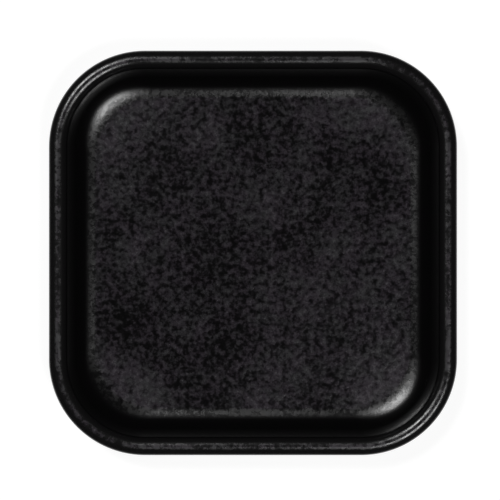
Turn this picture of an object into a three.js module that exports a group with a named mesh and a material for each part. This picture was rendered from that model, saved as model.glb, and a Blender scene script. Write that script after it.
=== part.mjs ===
// Square stoneware plate: rounded corners, a rim bead with a step inside it, a flat well and a foot ring.
// Millimetres, +Z up. The origin is the middle of the plane that the foot ring stands on.
import * as THREE from 'three';

// Plan of the plate, over the outermost edge of the rim
const PLATE_WIDTH = 150;
const PLATE_DEPTH = 148.7;
const CORNER_RADIUS = 35.3;

// Heights, over the finished glaze
const BASE_RECESS = 1.8;
const FLOOR_THICKNESS = 6.2;
const WELL_DEPTH = 8;
const FOOT_HEIGHT = 2.2;

// Rim bead: a crown outside its crest that runs out in a slow bevel to a tighter edge, and one round inside it.
// A tilt is the angle between level and the surface, in degrees.
const RIM_CROWN_RADIUS = 3;
const RIM_CROWN_TILT = 36;
const RIM_BEVEL_RADIUS = 15;
const RIM_BEVEL_TILT = 41;
const RIM_EDGE_RADIUS = 1.5;
const BEAD_RADIUS = 3.3;
const BEAD_INNER_TILT = 71;

// Step inside the rim bead, the slow shoulder below it that turns over a knee into the wall, and the well
const STEP_RADIUS = 0.6;
const SHOULDER_TILT = 24.5;
const SHOULDER_RADIUS = 20;
const KNEE_TILT = 33;
const KNEE_RADIUS = 3;
const WALL_TILT = 45;
const WELL_FILLET_RADIUS = 11.5;
const WELL_CORNER_EASE = 5;

// Outer wall and the heel below it
const OUTER_WALL_TILT = 45;
const HEEL_RADIUS = 9;

// Foot ring: its flat standing band, its draft, and the radii at its edges and roots
const FOOT_BAND = 2.8;
const FOOT_DRAFT = 12;
const FOOT_EDGE_RADIUS = 0.6;
const FOOT_ROOT_RADIUS = 0.7;

// Glaze: its thickness, the level band of it under the heel, the bare clay it leaves beside the foot ring,
// and the bond line under it
const GLAZE_THICKNESS = 0.5;
const UNDER_BAND = 0.7;
const BARE_MARGIN = 0.8;
const BOND_GAP = 0.05;

// Facets: how far one may stand off the true curve of the section, and how many turn each plan corner
const FACET_SAG = 0.035;
const CORNER_STEPS = 10;

// Colours and surfaces
const CLAY = { color: 0x8f8171, roughness: 0.88, metalness: 0 };
const BLACK_GLAZE = { color: 0x1d1c1e, roughness: 0.36, metalness: 0 };

// Heights that follow from the sizes above
const wellFloor = BASE_RECESS + FLOOR_THICKNESS;
const rimTop = wellFloor + WELL_DEPTH;
const skin = GLAZE_THICKNESS + BOND_GAP;
const clayUnderside = FOOT_HEIGHT + skin;
const clayRecess = BASE_RECESS + skin;

// Cross-section of the plate
// Its points are (inset, z): how far inside the rim's outline, and how high. A surface's facing is the
// angle of its outward normal from straight up, in degrees, positive towards the middle of the plate:
// 0 faces up, 90 faces the middle, -90 faces away from it, and 180 and -180 face down.
const sine = (degrees) => Math.sin(THREE.MathUtils.degToRad(degrees));
const cosine = (degrees) => Math.cos(THREE.MathUtils.degToRad(degrees));
const tangent = (degrees) => Math.tan(THREE.MathUtils.degToRad(degrees));

// A round stretch of the section. bend is 1 where the surface bulges and -1 where it hollows.
function round(centre, radius, bend, from, to, ease = [0, 0]) {
  const facetAngle = THREE.MathUtils.radToDeg(2 * Math.acos(1 - FACET_SAG / radius));
  const steps = Math.ceil(Math.abs(to - from) / facetAngle);
  return { centre, radius, bend, from, to, steps, ease };
}

// The point of a round stretch that has this facing, sunk below its surface by depth
function pointOn(stretch, facing, depth = 0) {
  const reach = stretch.bend * stretch.radius - depth;
  return {
    inset: stretch.centre.inset + reach * sine(facing),
    z: stretch.centre.z + reach * cosine(facing),
  };
}

// The centre of a round stretch that passes through a point with this facing there
function centreThrough(point, radius, bend, facing) {
  return {
    inset: point.inset - bend * radius * sine(facing),
    z: point.z - bend * radius * cosine(facing),
  };
}

const isSamePoint = (a, b) => (a.inset - b.inset) ** 2 + (a.z - b.z) ** 2 < Number.EPSILON;

// All points of some stretches, sunk by depth. Straight stretches are what joins one to the next,
// and where two stretches meet their shared point is kept once.
function trace(stretches, depth = 0) {
  const points = [];
  for (const stretch of stretches) {
    for (let i = 0; i <= stretch.steps; i += 1) {
      const share = i / stretch.steps;
      const facing = THREE.MathUtils.lerp(stretch.from, stretch.to, share);
      const ease = THREE.MathUtils.lerp(stretch.ease[0], stretch.ease[1], share);
      points.push({ ...pointOn(stretch, facing, depth), ease });
    }
  }
  return points.filter((point, i) => i === 0 || !isSamePoint(point, points[i - 1]));
}

// Glazed surface, from the edge of the well's flat floor up over the rim and down to the heel
const outerFacing = OUTER_WALL_TILT - 180;
const edgeReach = RIM_EDGE_RADIUS * (1 - sine(RIM_BEVEL_TILT));
const bevelReach = RIM_BEVEL_RADIUS * (sine(RIM_BEVEL_TILT) - sine(RIM_CROWN_TILT));
const crownReach = RIM_CROWN_RADIUS * sine(RIM_CROWN_TILT);
const crest = { inset: edgeReach + bevelReach + crownReach, z: rimTop };
const beadInside = round(centreThrough(crest, BEAD_RADIUS, 1, 0), BEAD_RADIUS, 1, BEAD_INNER_TILT, 0);
const crown = round(centreThrough(crest, RIM_CROWN_RADIUS, 1, 0), RIM_CROWN_RADIUS, 1, 0, -RIM_CROWN_TILT);
const crownEnd = pointOn(crown, -RIM_CROWN_TILT);
const bevelCentre = centreThrough(crownEnd, RIM_BEVEL_RADIUS, 1, -RIM_CROWN_TILT);
const bevel = round(bevelCentre, RIM_BEVEL_RADIUS, 1, -RIM_CROWN_TILT, -RIM_BEVEL_TILT);
const bevelEnd = pointOn(bevel, -RIM_BEVEL_TILT);
const rimEdgeCentre = centreThrough(bevelEnd, RIM_EDGE_RADIUS, 1, -RIM_BEVEL_TILT);
const rimEdge = round(rimEdgeCentre, RIM_EDGE_RADIUS, 1, -RIM_BEVEL_TILT, -90);
const rimUnderside = round(rimEdgeCentre, RIM_EDGE_RADIUS, 1, -90, outerFacing);

const stepTop = pointOn(beadInside, BEAD_INNER_TILT);
const stepCentre = centreThrough(stepTop, STEP_RADIUS, -1, BEAD_INNER_TILT);
const step = round(stepCentre, STEP_RADIUS, -1, SHOULDER_TILT, BEAD_INNER_TILT);

const shoulderTop = pointOn(step, SHOULDER_TILT);
const shoulderCentre = centreThrough(shoulderTop, SHOULDER_RADIUS, 1, SHOULDER_TILT);
const shoulder = round(shoulderCentre, SHOULDER_RADIUS, 1, KNEE_TILT, SHOULDER_TILT);

const kneeTop = pointOn(shoulder, KNEE_TILT);
const kneeCentre = centreThrough(kneeTop, KNEE_RADIUS, 1, KNEE_TILT);
const knee = round(kneeCentre, KNEE_RADIUS, 1, WALL_TILT, KNEE_TILT);

const wallTop = pointOn(knee, WALL_TILT);
const roomForFillet = (wallTop.z - wellFloor) / (1 - cosine(WALL_TILT));
const filletRadius = Math.min(WELL_FILLET_RADIUS, roomForFillet);
const wallFoot = wellFloor + filletRadius * (1 - cosine(WALL_TILT));
const wallRun = (wallTop.z - wallFoot) / tangent(WALL_TILT);
const filletStart = { inset: wallTop.inset + wallRun, z: wallFoot };
const filletCentre = centreThrough(filletStart, filletRadius, -1, WALL_TILT);
const fillet = round(filletCentre, filletRadius, -1, 0, WALL_TILT, [WELL_CORNER_EASE, 0]);

const outerTop = pointOn(rimUnderside, outerFacing);
const roomForHeel = (outerTop.z - FOOT_HEIGHT) / (1 - cosine(OUTER_WALL_TILT));
const heelRadius = Math.min(HEEL_RADIUS, roomForHeel);
const heelTop = FOOT_HEIGHT + heelRadius * (1 - cosine(OUTER_WALL_TILT));
const outerRun = (outerTop.z - heelTop) / tangent(OUTER_WALL_TILT);
const heelStart = { inset: outerTop.inset + outerRun, z: heelTop };
const heelCentre = centreThrough(heelStart, heelRadius, 1, outerFacing);
const heel = round(heelCentre, heelRadius, 1, outerFacing, -180);

const rim = [beadInside, crown, bevel, rimEdge, rimUnderside];
const glazedSurface = [fillet, knee, shoulder, step, ...rim, heel];

// The glaze ends under the heel in a rounded lip, a bare margin short of the foot ring
const coatLipCentre = { inset: heelCentre.inset + UNDER_BAND, z: FOOT_HEIGHT + GLAZE_THICKNESS };
const coatLip = round(coatLipCentre, GLAZE_THICKNESS, 1, 180, 90);
const glazeLine = coatLipCentre.inset + GLAZE_THICKNESS;

// How far a side of the foot ring spreads between the centres of its edge and of its root
function footSpread(ceiling) {
  const radii = FOOT_EDGE_RADIUS + FOOT_ROOT_RADIUS;
  const straightRise = ceiling - radii * (1 - sine(FOOT_DRAFT));
  return radii * cosine(FOOT_DRAFT) + straightRise * tangent(FOOT_DRAFT);
}

// The edge of the foot ring on the table and its root in the clay above, on one side of the ring.
// side is -1 for the outside of the ring and 1 for the inside.
function footSide(side, bandEdge, ceiling) {
  const sideFacing = side * (90 + FOOT_DRAFT);
  const edgeCentre = { inset: bandEdge, z: FOOT_EDGE_RADIUS };
  const rootCentre = { inset: bandEdge + side * footSpread(ceiling), z: ceiling - FOOT_ROOT_RADIUS };
  return {
    edge: round(edgeCentre, FOOT_EDGE_RADIUS, 1, sideFacing, side * 180),
    root: round(rootCentre, FOOT_ROOT_RADIUS, -1, side * 180, sideFacing),
  };
}

function backwards(stretch) {
  return { ...stretch, from: stretch.to, to: stretch.from };
}

const bandStart = glazeLine + BARE_MARGIN + footSpread(clayUnderside);
const footOutside = footSide(-1, bandStart, clayUnderside);
const footInside = footSide(1, bandStart + FOOT_BAND, clayRecess);
const footRing = [footOutside.root, footOutside.edge, backwards(footInside.edge), backwards(footInside.root)];

// The glaze inside the foot ring starts the same bare margin beyond its root
const baseGlazeEdge = footInside.root.centre.inset + BARE_MARGIN;
const baseLipCentre = { inset: baseGlazeEdge + GLAZE_THICKNESS, z: BASE_RECESS + GLAZE_THICKNESS };
const baseLip = round(baseLipCentre, GLAZE_THICKNESS, 1, -90, -180);

// A level ring of the plate: a rectangle with round corners, this far inside the rim's outline.
// Ease makes its corners rounder than the rim's, and none is tighter than the well's fillet.
function ring({ inset, z, ease }) {
  const radius = Math.max(CORNER_RADIUS - inset + ease, filletRadius);
  const centreX = PLATE_WIDTH / 2 - inset - radius;
  const centreY = PLATE_DEPTH / 2 - inset - radius;
  const points = [];
  for (const [quarter, signX, signY] of [[0, 1, 1], [1, -1, 1], [2, -1, -1], [3, 1, -1]]) {
    for (let i = 0; i <= CORNER_STEPS; i += 1) {
      const angle = 90 * (quarter + i / CORNER_STEPS);
      const x = signX * centreX + radius * cosine(angle);
      const y = signY * centreY + radius * sine(angle);
      points.push(new THREE.Vector3(x, y, z));
    }
  }
  return points;
}

// A closed body through the rings of a section that starts at an upper flat and ends at a lower one
function bodyThrough(section) {
  const rings = section.map(ring);
  const count = rings[0].length;
  const positions = rings.flat().flatMap((point) => point.toArray());
  const faces = [];
  for (let r = 0; r + 1 < rings.length; r += 1) {
    for (let i = 0; i < count; i += 1) {
      const next = (i + 1) % count;
      const [a, b] = [r * count + i, r * count + next];
      const [c, d] = [a + count, b + count];
      faces.push(a, c, d, a, d, b);
    }
  }
  const upperMiddle = rings.length * count;
  const lowerMiddle = upperMiddle + 1;
  const lowerRing = upperMiddle - count;
  positions.push(0, 0, section[0].z, 0, 0, section.at(-1).z);
  for (let i = 0; i < count; i += 1) {
    const next = (i + 1) % count;
    faces.push(upperMiddle, i, next);
    faces.push(lowerMiddle, lowerRing + next, lowerRing + i);
  }
  const geometry = new THREE.BufferGeometry();
  geometry.setAttribute('position', new THREE.Float32BufferAttribute(positions, 3));
  geometry.setIndex(faces);
  geometry.computeVertexNormals();
  return geometry;
}

function piece(name, section, finish) {
  const mesh = new THREE.Mesh(bodyThrough(section), new THREE.MeshStandardMaterial(finish));
  mesh.name = name;
  return mesh;
}

// Fired clay: floor, wall, rim and foot ring in one pressing
const clay = piece('stoneware_body', [...trace(glazedSurface, skin), ...trace(footRing)], CLAY);

// Glaze over the well, rim and outer wall: its face, its lip at the glaze line, then its bonded side
const bondedSide = trace(glazedSurface, GLAZE_THICKNESS).reverse();
const coat = piece('glaze_coat', [...trace([...glazedSurface, coatLip]), ...bondedSide], BLACK_GLAZE);

// Glaze on the underside, inside the foot ring
const base = piece('base_glaze', trace([baseLip]), BLACK_GLAZE);

const plate = new THREE.Group();
plate.add(clay, coat, base);

export default plate;
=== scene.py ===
import math

import bmesh
import bpy
from mathutils import Matrix, Vector, noise


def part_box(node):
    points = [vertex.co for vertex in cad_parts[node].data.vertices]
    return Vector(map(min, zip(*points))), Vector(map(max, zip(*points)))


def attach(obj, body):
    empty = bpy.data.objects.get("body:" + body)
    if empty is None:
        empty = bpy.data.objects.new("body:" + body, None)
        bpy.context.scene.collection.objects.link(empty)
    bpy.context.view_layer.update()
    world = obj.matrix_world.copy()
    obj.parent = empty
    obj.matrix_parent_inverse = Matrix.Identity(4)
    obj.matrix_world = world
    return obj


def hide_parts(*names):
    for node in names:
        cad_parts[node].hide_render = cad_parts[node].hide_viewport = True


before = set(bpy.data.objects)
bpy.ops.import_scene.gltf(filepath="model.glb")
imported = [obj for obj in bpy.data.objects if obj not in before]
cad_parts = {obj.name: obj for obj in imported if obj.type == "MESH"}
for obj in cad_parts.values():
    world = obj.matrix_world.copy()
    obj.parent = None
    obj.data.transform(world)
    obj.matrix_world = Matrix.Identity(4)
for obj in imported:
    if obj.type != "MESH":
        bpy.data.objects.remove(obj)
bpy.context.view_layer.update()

# Pressed stoneware body
# One pressing of fine buff clay, fired hard: floor, wall, rim and foot ring in one piece. Glaze hides
# all of it but the foot ring and a narrow margin beside it, which are wiped clean before the firing
# so that the plate doesn't stick to the kiln shelf.
coat_low, coat_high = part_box("glaze_coat")
pool_low, pool_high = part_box("base_glaze")
clay_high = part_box("stoneware_body")[1]
plate_size = (coat_high - coat_low).to_2d()
rim_top = coat_high.z
foot_height = coat_low.z
glaze_skin = rim_top - clay_high.z
glaze_thickness = pool_high.z - pool_low.z

# Sizes in metres and tilts in degrees
CORNER_RADIUS = 0.0353
CORNER_SEGMENTS = 40
RIM_CROWN_RADIUS = 0.0030
RIM_CROWN_TILT = 36
RIM_BEVEL_RADIUS = 0.0150
RIM_BEVEL_TILT = 41
RIM_EDGE_RADIUS = 0.0015
BEAD_RADIUS = 0.0033
BEAD_INNER_TILT = 71
STEP_RADIUS = 0.0006
SHOULDER_TILT = 24.5
SHOULDER_RADIUS = 0.02
KNEE_TILT = 33
KNEE_RADIUS = 0.003
WALL_TILT = 45
WELL_DEPTH = 0.008
WELL_FILLET_RADIUS = 0.0115
WELL_CORNER_EASE = 0.0050
FLAT_MARGIN = 0.0004
OUTER_WALL_TILT = 45
HEEL_RADIUS = 0.009
UNDER_BAND = 0.0007
BARE_MARGIN = 0.0008
FOOT_BAND = 0.0028
FOOT_DRAFT = 12
FOOT_EDGE_RADIUS = 0.0006
FOOT_ROOT_RADIUS = 0.0007
FACET_SAG = 0.000001
WELD_GAP = 0.00002
UNIT_HALF = 0.5


def at(inset, height):
    """A point of the plate's section, without corner ease: how far inside the rim's outline and how high."""
    return Vector((inset, height, 0.0))


# Ways that a face of the section can look, in degrees
UPWARD = 0
INWARD = 90
DOWNWARD = 180
OUTWARD = -90


def direction(facing):
    """A step of one metre in the section along the way that a face looks."""
    return at(math.sin(math.radians(facing)), math.cos(math.radians(facing)))


def follow(start, *bends, depth=0.0):
    """Round stretches of the section one after the other from a point of its face, sunk below it by depth.
    Each is a radius, negative where the face hollows, and the facings it turns between."""
    points = [start - depth * direction(bends[0][1])]
    for radius, first, last in bends:
        centre = start - radius * direction(first)
        start = centre + radius * direction(last)
        facet = 2 * math.degrees(math.acos(1 - FACET_SAG / abs(radius)))
        steps = math.ceil(abs(last - first) / facet)
        for step in range(1, steps + 1):
            facing = first + (last - first) * step / steps
            points.append(centre + (radius - depth) * direction(facing))
    return points


def slope(start, tilt, end_height):
    """Where a straight stretch of this tilt that goes down from start reaches a height."""
    drop = start.y - end_height
    return start + at(drop / math.tan(math.radians(tilt)), -drop)


def sagitta(radius, tilt):
    """How much height a round stretch takes to turn from level to this tilt."""
    return radius * (1 - math.cos(math.radians(tilt)))


outer_facing = OUTER_WALL_TILT - DOWNWARD
edge_bends = (
    (RIM_EDGE_RADIUS, OUTWARD, -RIM_BEVEL_TILT),
    (RIM_BEVEL_RADIUS, -RIM_BEVEL_TILT, -RIM_CROWN_TILT),
    (RIM_CROWN_RADIUS, -RIM_CROWN_TILT, UPWARD),
)
rim_side = at(0.0, rim_top - follow(at(0.0, 0.0), *edge_bends)[-1].y)
rim_bends = (
    *edge_bends,
    (BEAD_RADIUS, UPWARD, BEAD_INNER_TILT),
    (-STEP_RADIUS, BEAD_INNER_TILT, SHOULDER_TILT),
    (SHOULDER_RADIUS, SHOULDER_TILT, KNEE_TILT),
    (KNEE_RADIUS, KNEE_TILT, WALL_TILT),
)
under_bend = (RIM_EDGE_RADIUS, OUTWARD, outer_facing)
fillet_bend = (-WELL_FILLET_RADIUS, WALL_TILT, UPWARD)
heel_bend = (HEEL_RADIUS, outer_facing, -DOWNWARD)
well_floor = rim_top - WELL_DEPTH
wall_foot = well_floor + sagitta(WELL_FILLET_RADIUS, WALL_TILT)
fillet_top = slope(follow(rim_side, *rim_bends)[-1], WALL_TILT, wall_foot)
heel_height = foot_height + sagitta(HEEL_RADIUS, OUTER_WALL_TILT)
heel_top = slope(follow(rim_side, under_bend)[-1], OUTER_WALL_TILT, heel_height)
heel_end = follow(heel_top, heel_bend)[-1]


def inside_section(depth):
    """From the widest point of the rim up over the bead, down the wall and onto the flat of the well."""
    fillet = follow(fillet_top, fillet_bend, depth=depth)
    for step, point in enumerate(fillet):
        point.z = WELL_CORNER_EASE * step / (len(fillet) - 1)
    return follow(rim_side, *rim_bends, depth=depth) + fillet + [fillet[-1] + at(FLAT_MARGIN, 0.0)]


def outside_section(depth):
    """From the widest point of the rim down the outer wall to the underside of the heel."""
    return follow(rim_side, under_bend, depth=depth) + follow(heel_top, heel_bend, depth=depth)


def foot_section(root):
    """From the foot ring's outer root down to the table and up again to the recess inside the ring."""
    recess = pool_low.z + glaze_skin
    side = INWARD + FOOT_DRAFT
    radii = FOOT_EDGE_RADIUS + FOOT_ROOT_RADIUS
    draft = math.radians(FOOT_DRAFT)

    def spread(ceiling):
        """How far a drafted side reaches in plan, with its two round edges, up to a ceiling."""
        straight = ceiling - radii * (1 - math.sin(draft))
        return radii * math.cos(draft) + straight * math.tan(draft)

    band_start = at(root.x + spread(root.y), 0.0)
    band_end = band_start + at(FOOT_BAND, 0.0)
    recess_edge = at(band_end.x + spread(recess), recess)
    return (
        follow(root, (-FOOT_ROOT_RADIUS, -DOWNWARD, -side))
        + follow(band_start, (FOOT_EDGE_RADIUS, -DOWNWARD, -side))[::-1]
        + follow(band_end, (FOOT_EDGE_RADIUS, DOWNWARD, side))
        + follow(recess_edge, (-FOOT_ROOT_RADIUS, DOWNWARD, side))[::-1]
        + [recess_edge + at(FLAT_MARGIN, 0.0)]
    )


def plan_sheet(bm, start):
    """A level sheet with the plate's plan, at a point of the section."""
    known = set(bm.faces)
    spread = Matrix.Diagonal((plate_size.x - 2 * start.x, plate_size.y - 2 * start.x, 1, 1))
    place = Matrix.Translation((0, 0, start.y)) @ spread
    sheet = bmesh.ops.create_grid(bm, x_segments=1, y_segments=1, size=UNIT_HALF, matrix=place)
    bmesh.ops.bevel(bm, geom=sheet["verts"], affect="VERTICES", offset=CORNER_RADIUS - start.x,
                    segments=CORNER_SEGMENTS, profile=0.5, material=-1)
    return (set(bm.faces) - known).pop()


def ease_corners(face, here, more):
    """Widens the corner arcs of a sheet's outline, by moving their centres towards the middle."""
    radius = CORNER_RADIUS - here.x + here.z
    for vert in face.verts:
        for axis in (0, 1):
            centre = plate_size[axis] / 2 - CORNER_RADIUS - here.z
            turn = (abs(vert.co[axis]) - centre) / radius
            vert.co[axis] -= math.copysign(more * (1 - turn), vert.co[axis])


def press(bm, section, up):
    """Presses a sheet inwards along the section, and leaves a band of faces behind it at each step."""
    face = plan_sheet(bm, section[0])
    if not up:
        bmesh.ops.reverse_faces(bm, faces=[face])
    for here, there in zip(section, section[1:]):
        inwards, rise, more_ease = there - here
        face.normal_update()
        bmesh.ops.inset_region(bm, faces=[face], thickness=inwards, depth=rise if up else -rise,
                               use_boundary=True, use_even_offset=True)
        ease_corners(face, at(there.x, there.y) + Vector((0, 0, here.z)), more_ease)
    return face


def weld(bm):
    """Joins the sheets along their shared outline and turns all faces outwards."""
    bmesh.ops.remove_doubles(bm, verts=bm.verts, dist=WELD_GAP)
    bmesh.ops.recalc_face_normals(bm, faces=bm.faces)


def finished(bm, name, material, node):
    """Makes a piece of the mesh, which stands for a solid of the frame."""
    for face in bm.faces:
        face.smooth = True
    mesh = bpy.data.meshes.new(name)
    bm.to_mesh(mesh)
    bm.free()
    mesh.materials.append(material)
    piece = bpy.data.objects.new(name, mesh)
    bpy.context.scene.collection.objects.link(piece)
    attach(piece, "root")
    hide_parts(node)


def add_node(tree, kind, **settings):
    """A shader node with some of its inputs or properties set."""
    node = tree.nodes.new("ShaderNode" + kind)
    for name, value in settings.items():
        socket = node.inputs.get(name.replace("_", " ").title())
        if socket is None:
            setattr(node, name, value)
        else:
            socket.default_value = value
    return node


def colours(tree, *stops):
    """A ramp through colours, each at its own place."""
    node = add_node(tree, "ValToRGB")
    ramp = node.color_ramp
    while len(ramp.elements) < len(stops):
        ramp.elements.new(1.0)
    for element, (position, colour) in zip(ramp.elements, stops):
        element.position = position
        element.color = (*colour, 1)
    return node


def new_material(name):
    """A material, its node tree and its shader."""
    material = bpy.data.materials.new(name)
    material.use_nodes = True
    tree = material.node_tree
    return material, tree, tree.nodes["Principled BSDF"]


# Specks that the kiln brings out in the clay and in the glaze: a mask of them and their grain
SPECK_DETAIL = 5.0
SPECK_ROUGHNESS = 0.7
DRIFT_DETAIL = 2.0
DRIFT_ROUGHNESS = 0.5
DRIFT_PULL = 0.3

speckle_group = bpy.data.node_groups.new("kiln_speckle", "ShaderNodeTree")
speckle_group.interface.new_socket("Vector", in_out="INPUT", socket_type="NodeSocketVector")
for name in ("Scale", "Drift Scale", "Shift", "Low", "High"):
    speckle_group.interface.new_socket(name, in_out="INPUT", socket_type="NodeSocketFloat")
for name in ("Mask", "Grain"):
    speckle_group.interface.new_socket(name, in_out="OUTPUT", socket_type="NodeSocketFloat")
join = speckle_group.links.new
given = speckle_group.nodes.new("NodeGroupInput")
made = speckle_group.nodes.new("NodeGroupOutput")
specks = add_node(speckle_group, "TexNoise", detail=SPECK_DETAIL, roughness=SPECK_ROUGHNESS)
drift = add_node(speckle_group, "TexNoise", detail=DRIFT_DETAIL, roughness=DRIFT_ROUGHNESS)
pull = add_node(speckle_group, "Math", operation="MULTIPLY_ADD")
pull.inputs[1].default_value = DRIFT_PULL
shifted = add_node(speckle_group, "Math", operation="ADD")
mask = add_node(speckle_group, "MapRange")
join(given.outputs["Vector"], specks.inputs["Vector"])
join(given.outputs["Vector"], drift.inputs["Vector"])
join(given.outputs["Scale"], specks.inputs["Scale"])
join(given.outputs["Drift Scale"], drift.inputs["Scale"])
join(drift.outputs["Fac"], pull.inputs[0])
join(specks.outputs["Fac"], pull.inputs[2])
join(pull.outputs["Value"], shifted.inputs[0])
join(given.outputs["Shift"], shifted.inputs[1])
join(shifted.outputs["Value"], mask.inputs["Value"])
join(given.outputs["Low"], mask.inputs["From Min"])
join(given.outputs["High"], mask.inputs["From Max"])
join(mask.outputs["Result"], made.inputs["Mask"])
join(specks.outputs["Fac"], made.inputs["Grain"])

# Bare clay, rubbed pale on the foot and toasted darker towards the glaze, with fine iron spots
RUBBED_CLAY = (0.37, 0.31, 0.24)
BUFF_CLAY = (0.28, 0.22, 0.165)
TOASTED_CLAY = (0.19, 0.125, 0.08)
IRON_BROWN = (0.06, 0.035, 0.022)
RUBBED_SHARE = 0.2
BUFF_SHARE = 0.45
TOAST_UNEVENNESS = 0.5
IRON_SCALE = 900.0
IRON_DRIFT = 200.0
IRON_LOW = 0.80
IRON_HIGH = 0.86
GRAIN_STRENGTH = 0.5
GRAIN_HEIGHT = 0.0001
CLAY_ROUGHNESS = 0.85

clay, tree, shader = new_material("bare_stoneware")
join = tree.links.new
place = add_node(tree, "TexCoord")
height = add_node(tree, "SeparateXYZ")
toast = add_node(tree, "MapRange", from_max=foot_height + glaze_skin)
uneven = add_node(tree, "Math", operation="MULTIPLY_ADD")
uneven.inputs[1].default_value = TOAST_UNEVENNESS
base = colours(tree, (RUBBED_SHARE, RUBBED_CLAY), (BUFF_SHARE, BUFF_CLAY), (1.0, TOASTED_CLAY))
iron = add_node(tree, "Group", node_tree=speckle_group, scale=IRON_SCALE, drift_scale=IRON_DRIFT,
                low=IRON_LOW, high=IRON_HIGH)
tone = add_node(tree, "MixRGB", color2=(*IRON_BROWN, 1))
relief = add_node(tree, "Bump", strength=GRAIN_STRENGTH, distance=GRAIN_HEIGHT)
join(place.outputs["Object"], height.inputs["Vector"])
join(place.outputs["Object"], iron.inputs["Vector"])
join(height.outputs["Z"], toast.inputs["Value"])
join(iron.outputs["Grain"], uneven.inputs[0])
join(toast.outputs["Result"], uneven.inputs[2])
join(uneven.outputs["Value"], base.inputs["Fac"])
join(base.outputs["Color"], tone.inputs["Color1"])
join(iron.outputs["Mask"], tone.inputs["Fac"])
join(tone.outputs["Color"], shader.inputs["Base Color"])
join(iron.outputs["Grain"], relief.inputs["Height"])
join(relief.outputs["Normal"], shader.inputs["Normal"])
shader.inputs["Roughness"].default_value = CLAY_ROUGHNESS

lip_inset = heel_end.x + UNDER_BAND
foot_root = at(lip_inset + glaze_thickness + BARE_MARGIN, foot_height + glaze_skin)
bm = bmesh.new()
press(bm, inside_section(glaze_skin), up=True)
press(bm, outside_section(glaze_skin) + foot_section(foot_root), up=False)
weld(bm)
finished(bm, "pressed_stoneware", clay, "stoneware_body")

# Glaze coat
# Black glaze, half a millimetre thick, over the well, the wall, the rim and the outside. Where it lies
# level it dries in the kiln to a fine matte grey with glossy black flecks, it stays satin on the fillet
# and the shoulder, and on the rim's bead its colour is lighter: thin glaze, and partly a painted
# reflection of the room. Its lower edge, wiped by hand, ends in a rounded lip.
GLAZE_BLACK = (0.0013, 0.0012, 0.0013)
SPECK_DARK = (0.0024, 0.0019, 0.0024)
SPECK_GREY = (0.0115, 0.0099, 0.0118)
SPECK_LIGHT = (0.0225, 0.0203, 0.0231)
# Lighter tone of the rim's bead: thin glaze, and partly a painted reflection of the room
THIN_GLAZE_AND_REFLECTION = (0.0058, 0.0056, 0.0058)
VIOLET_CAST = (1.06, 0.96, 1.08)
GREEN_CAST = (0.95, 1.02, 0.98)
DARK_SHARE = 0.24
GREY_SHARE = 0.44
VIOLET_SHARE = 0.4
GREEN_SHARE = 0.6
PATCH_SCALE = 150.0
PATCH_DETAIL = 2.0
MOTTLE_SCALE = 480.0
MOTTLE_DRIFT = 60.0
MOTTLE_LOW = 0.52
MOTTLE_HIGH = 0.85
SPECK_HEIGHT = 0.00015
GLAZE_IOR = 1.5

# How much greyer the mottle gets, on a scale from 0 on the plate's two middle lines to 1 at the tips of its
# corners
CORNER_GREYING = 0.11
CORNER_GREYING_RAMP = ((0.24, 0.0), (0.40, CORNER_GREYING), (0.50, CORNER_GREYING), (0.60, 0.0))

# Roughness of the glossy flecks, and of the matte glaze on slopes, in the well and on the rim's crest
GLOSSY = 0.165
MATTE = 0.44
MATTE_LEVEL = 0.28
MATTE_CREST = 0.38

# Share of matte in the even satin, and how strongly the fillet keeps its flecks
SATIN_FILLET = 0.5
SATIN_SHOULDER = 0.34
FILLET_MOTTLE = 0.6

# How far a face looks up, from 0 where it is upright to 1 where it is level, when a finish starts or is full
LEVEL_WELL = 0.985
LEVEL_CREST = 0.93
LEVEL = 0.999
STEEP_FILLET = 0.87
STEEP_RIM = 0.75
SLOPING = 0.97
MOTTLED = (0.90, 0.95)
FILLET_SLOPE = (0.95, 0.99)

# Heights over which the rim's thin glaze and the wall's finish blend in
BEAD_BLEND = 0.0002
STEEP_BLEND = 0.001
bead_foot = rim_top - sagitta(BEAD_RADIUS, BEAD_INNER_TILT)

glaze, tree, shader = new_material("black_glaze")
join = tree.links.new
place = add_node(tree, "TexCoord")
spot = add_node(tree, "SeparateXYZ")
way = add_node(tree, "SeparateXYZ")
join(place.outputs["Object"], spot.inputs["Vector"])
join(place.outputs["Normal"], way.inputs["Vector"])

# How level the glaze lies, judged more loosely on the crest of the rim than in the well
flattest = add_node(tree, "MapRange", from_min=well_floor, from_max=rim_top,
                    to_min=LEVEL_WELL, to_max=LEVEL_CREST)
level = add_node(tree, "MapRange", from_max=LEVEL, interpolation_type="SMOOTHSTEP")
join(spot.outputs["Z"], flattest.inputs["Value"])
join(flattest.outputs["Result"], level.inputs["From Min"])
join(way.outputs["Z"], level.inputs["Value"])

# The mottle, made greyer towards the corners of the well
across = add_node(tree, "VectorMath", operation="SCALE", scale=2 / max(plate_size))
plan = add_node(tree, "SeparateXYZ")
cornered = add_node(tree, "Math", operation="MULTIPLY")
corners = add_node(tree, "Math", operation="ABSOLUTE")
corner_greying = colours(tree, *((stop, [lift] * 3) for stop, lift in CORNER_GREYING_RAMP))
lifted = add_node(tree, "Math", operation="MULTIPLY")
mottle = add_node(tree, "Group", node_tree=speckle_group, scale=MOTTLE_SCALE, drift_scale=MOTTLE_DRIFT,
                  low=MOTTLE_LOW, high=MOTTLE_HIGH)
join(place.outputs["Object"], across.inputs[0])
join(across.outputs["Vector"], plan.inputs["Vector"])
join(plan.outputs["X"], cornered.inputs[0])
join(plan.outputs["Y"], cornered.inputs[1])
join(cornered.outputs["Value"], corners.inputs[0])
join(corners.outputs["Value"], corner_greying.inputs["Fac"])
join(corner_greying.outputs["Color"], lifted.inputs[0])
join(level.outputs["Result"], lifted.inputs[1])
join(lifted.outputs["Value"], mottle.inputs["Shift"])
join(place.outputs["Object"], mottle.inputs["Vector"])
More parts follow.
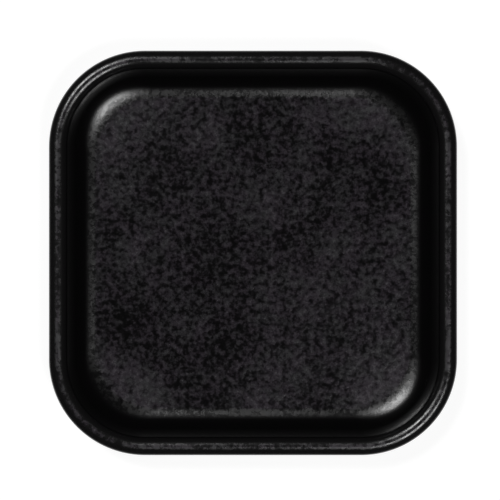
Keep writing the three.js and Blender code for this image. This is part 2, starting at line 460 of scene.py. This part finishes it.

# Colour: grey where the mottle settles, a faint violet or green cast, and a lighter tone on the rim's bead,
# which is thin glaze and partly a painted reflection of the room
settled = add_node(tree, "Math", operation="MULTIPLY")
tone = colours(tree, (0.0, GLAZE_BLACK), (DARK_SHARE, SPECK_DARK),
               (GREY_SHARE, SPECK_GREY), (1.0, SPECK_LIGHT))
patches = add_node(tree, "TexNoise", scale=PATCH_SCALE, detail=PATCH_DETAIL)
cast = colours(tree, (VIOLET_SHARE, VIOLET_CAST), (GREEN_SHARE, GREEN_CAST))
tinted = add_node(tree, "MixRGB", blend_type="MULTIPLY", fac=1.0)
bead = add_node(tree, "MapRange", from_min=bead_foot - BEAD_BLEND, from_max=bead_foot + BEAD_BLEND)
# Lightens the rim's bead: thin glaze, and partly a painted reflection of the room
thinned_and_reflecting = add_node(tree, "MixRGB", blend_type="LIGHTEN", color2=(*THIN_GLAZE_AND_REFLECTION, 1))
join(level.outputs["Result"], settled.inputs[0])
join(mottle.outputs["Mask"], settled.inputs[1])
join(settled.outputs["Value"], tone.inputs["Fac"])
join(place.outputs["Object"], patches.inputs["Vector"])
join(patches.outputs["Fac"], cast.inputs["Fac"])
join(tone.outputs["Color"], tinted.inputs["Color1"])
join(cast.outputs["Color"], tinted.inputs["Color2"])
join(spot.outputs["Z"], bead.inputs["Value"])
join(bead.outputs["Result"], thinned_and_reflecting.inputs["Fac"])
join(tinted.outputs["Color"], thinned_and_reflecting.inputs["Color1"])
join(thinned_and_reflecting.outputs["Color"], shader.inputs["Base Color"])

# How matte it is: not at all where it is steep, evenly satin on slopes and flecked towards the level
raised = add_node(tree, "MapRange", from_min=wall_foot, from_max=wall_foot + STEEP_BLEND)
steep = add_node(tree, "MapRange", to_min=STEEP_FILLET, to_max=STEEP_RIM)
sloping = add_node(tree, "MapRange", from_max=SLOPING, interpolation_type="SMOOTHSTEP")
satin = add_node(tree, "MapRange", to_min=SATIN_FILLET, to_max=SATIN_SHOULDER)
kept = add_node(tree, "MapRange", to_min=FILLET_MOTTLE)
flattening = add_node(tree, "MapRange", from_min=FILLET_SLOPE[0], from_max=FILLET_SLOPE[1])
mottled = add_node(tree, "MapRange", from_min=MOTTLED[0], from_max=MOTTLED[1])
flecked = add_node(tree, "Math", operation="MULTIPLY")
evened = add_node(tree, "Mix")
matte = add_node(tree, "Math", operation="MULTIPLY")
join(spot.outputs["Z"], raised.inputs["Value"])
for finish in (steep, satin, kept):
    join(raised.outputs["Result"], finish.inputs["Value"])
for slope_share in (sloping, flattening, mottled):
    join(way.outputs["Z"], slope_share.inputs["Value"])
join(steep.outputs["Result"], sloping.inputs["From Min"])
join(kept.outputs["Result"], flattening.inputs["To Min"])
join(mottled.outputs["Result"], flecked.inputs[0])
join(flattening.outputs["Result"], flecked.inputs[1])
join(flecked.outputs["Value"], evened.inputs["Factor"])
join(satin.outputs["Result"], evened.inputs["A"])
join(mottle.outputs["Mask"], evened.inputs["B"])
join(sloping.outputs["Result"], matte.inputs[0])
join(evened.outputs["Result"], matte.inputs[1])

# Roughness from glossy to as dry as the place allows, and the raised grain of the matte specks
crest = add_node(tree, "MapRange", to_min=MATTE_LEVEL, to_max=MATTE_CREST)
dryness = add_node(tree, "MapRange", to_min=MATTE)
gloss = add_node(tree, "MapRange", to_min=GLOSSY)
relief = add_node(tree, "Bump", distance=SPECK_HEIGHT)
join(bead.outputs["Result"], crest.inputs["Value"])
join(crest.outputs["Result"], dryness.inputs["To Max"])
join(level.outputs["Result"], dryness.inputs["Value"])
join(dryness.outputs["Result"], gloss.inputs["To Max"])
join(matte.outputs["Value"], gloss.inputs["Value"])
join(gloss.outputs["Result"], shader.inputs["Roughness"])
join(mottle.outputs["Grain"], relief.inputs["Height"])
join(matte.outputs["Value"], relief.inputs["Strength"])
join(relief.outputs["Normal"], shader.inputs["Normal"])
shader.inputs["IOR"].default_value = GLAZE_IOR

WAVE_HEIGHT = 0.00025
WAVES_PER_METRE = 90


def wavy_edge(bm, top, start, end):
    """Moves what lies below top in and out, as wiping by hand leaves it: not at all at the inset start, and
    in full from end inwards."""
    middle = plate_size / 2 - Vector((CORNER_RADIUS, CORNER_RADIUS))
    for vert in bm.verts:
        corner = Vector((max(abs(vert.co.x) - middle.x, 0), max(abs(vert.co.y) - middle.y, 0)))
        share = (CORNER_RADIUS - corner.length - start) / (end - start)
        if vert.co.z < top and 0 < share:
            wave = WAVE_HEIGHT * min(share, 1) * noise.noise(vert.co * WAVES_PER_METRE)
            outward = Vector((math.copysign(corner.x, vert.co.x), math.copysign(corner.y, vert.co.y), 0))
            vert.co += wave * outward.normalized()


bm = bmesh.new()
lip = follow(at(lip_inset, foot_height), (glaze_thickness, DOWNWARD, INWARD))
caps = [press(bm, outside_section(0.0) + lip, up=False)]
caps.append(press(bm, outside_section(glaze_thickness) + lip[-1:], up=False))
press(bm, inside_section(0.0), up=True)
press(bm, inside_section(glaze_thickness), up=True)
bmesh.ops.delete(bm, geom=caps, context="FACES_ONLY")
weld(bm)
wavy_edge(bm, foot_height + 2 * glaze_thickness, heel_end.x, lip_inset)
finished(bm, "black_glaze_coat", glaze, "glaze_coat")

# Base glaze
# The same glaze in a flat pool on the underside, inside the foot ring. It is poured in and melts there on
# its own, parted from the coat by the bare ring, and its wiped edge is rounded and a little wavy.
bm = bmesh.new()
pool_edge = at((plate_size.x - (pool_high.x - pool_low.x)) / 2, pool_high.z)
press(bm, follow(pool_edge, (glaze_thickness, OUTWARD, -DOWNWARD)), up=False)
plan_sheet(bm, pool_edge)
weld(bm)
wavy_edge(bm, rim_top, 0.0, pool_edge.x)
finished(bm, "underside_glaze", glaze, "base_glaze")

# Studio
# A white table, two soft lamps that face each other over the plate's diagonal, and a camera that
# looks straight down.
LAMP_DISTANCE = 2.5
ROOM_LIGHT = 0.012

# Each lamp's turn about the plate and tilt from overhead in degrees, length and width in metres, and watts
LAMPS = {
    "lamp_upper_left": (130.6, 31.6, 0.72, 0.78, 31.5),
    "lamp_lower_right": (-50.2, 31, 0.75, 0.82, 28),
}
for name, (turn, tilt, length, width, power) in LAMPS.items():
    lamp = bpy.data.lights.new(name, "AREA")
    lamp.shape = "RECTANGLE"
    lamp.size = length
    lamp.size_y = width
    lamp.energy = power
    holder = bpy.data.objects.new(name, lamp)
    swing = Matrix.Rotation(math.radians(turn), 4, "Z") @ Matrix.Rotation(math.radians(tilt), 4, "Y")
    holder.matrix_world = swing @ Matrix.Translation((0, 0, LAMP_DISTANCE))
    bpy.context.scene.collection.objects.link(holder)

world = bpy.data.worlds.new("dim_room")
world.use_nodes = True
room = world.node_tree.nodes["Background"]
room.inputs["Color"].default_value = (1, 1, 1, 1)
room.inputs["Strength"].default_value = ROOM_LIGHT
bpy.context.scene.world = world

# The table glows towards the camera and in the glaze, so that it looks white and still takes a shadow
TABLE_GREY = (0.3, 0.3, 0.3)
TABLE_ROUGHNESS = 0.9
TABLE_GLOW = 0.83
TABLE_REACH = 2.0

table, tree, shader = new_material("white_table")
join = tree.links.new
ray = add_node(tree, "LightPath")
mirrored = add_node(tree, "Math", operation="MAXIMUM")
seen = add_node(tree, "Math", operation="MAXIMUM")
lift = add_node(tree, "Math", operation="MULTIPLY")
lift.inputs[1].default_value = TABLE_GLOW
join(ray.outputs["Is Glossy Ray"], mirrored.inputs[0])
join(ray.outputs["Is Transmission Ray"], mirrored.inputs[1])
join(ray.outputs["Is Camera Ray"], seen.inputs[0])
join(mirrored.outputs["Value"], seen.inputs[1])
join(seen.outputs["Value"], lift.inputs[0])
join(lift.outputs["Value"], shader.inputs["Emission Strength"])
shader.inputs["Emission Color"].default_value = (1, 1, 1, 1)
shader.inputs["Base Color"].default_value = (*TABLE_GREY, 1)
shader.inputs["Roughness"].default_value = TABLE_ROUGHNESS
shader.inputs["Specular IOR Level"].default_value = 0.0
bm = bmesh.new()
bmesh.ops.create_grid(bm, x_segments=1, y_segments=1, size=TABLE_REACH)
mesh = bpy.data.meshes.new("table")
bm.to_mesh(mesh)
bm.free()
mesh.materials.append(table)
floor = bpy.data.objects.new("table", mesh)
bpy.context.scene.collection.objects.link(floor)

# The camera's place beside the plate's middle, its height and how much it sees at the height of the rim
CAMERA_OFFSET = (-0.0011, 0.00107)
CAMERA_HEIGHT = 1.1
VIEW_WIDTH = 0.1838
SENSOR_WIDTH = 36
eye = bpy.data.cameras.new("camera")
eye.sensor_width = SENSOR_WIDTH
eye.lens = SENSOR_WIDTH * (CAMERA_HEIGHT - rim_side.y) / VIEW_WIDTH
camera = bpy.data.objects.new("camera", eye)
camera.location = (*CAMERA_OFFSET, CAMERA_HEIGHT)
bpy.context.scene.collection.objects.link(camera)
bpy.context.scene.camera = camera
bpy.context.scene.view_settings.view_transform = "Standard"
